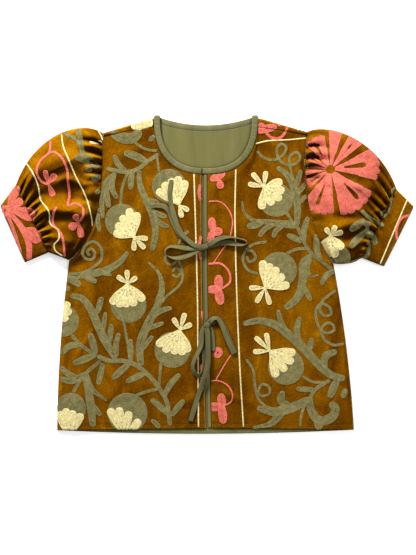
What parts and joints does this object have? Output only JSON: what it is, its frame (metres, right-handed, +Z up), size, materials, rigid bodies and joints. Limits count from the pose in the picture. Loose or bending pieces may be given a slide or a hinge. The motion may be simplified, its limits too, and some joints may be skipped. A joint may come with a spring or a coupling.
{
  "type": "bow top",
  "caption": "Short velvet front-tie top laid flat, with a round bound neck, puffed short sleeves gathered into wide cuffs, and cotton ties in bows.",
  "frame": {"origin": "the middle of the garment's box, on the surface it lies on", "axes": "+X to the viewer's right, which is the wearer's left, +Y from the hem to the neck, +Z up from the surface"},
  "size_m": [0.766, 0.5902, 0.0283],
  "materials": {
    "velvet": "silk-like ochre velvet with a short nap",
    "lining": "plain woven olive cotton",
    "binding": "plain woven olive cotton, folded",
    "tie": "plain woven dark olive cotton, folded"
  },
  "bodies": {
    "root": {"back": "velvet", "back_lining": "lining", "front_right": "velvet", "front_left": "velvet", "sleeve_right": "velvet", "sleeve_left": "velvet", "cuff_right": "velvet", "cuff_left": "velvet", "neck_binding": "binding", "edge_binding": "binding", "tie_upper_right": "tie", "tie_upper_left": "tie", "tie_lower_right": "tie", "tie_lower_left": "tie"}
  },
  "joints": []
}
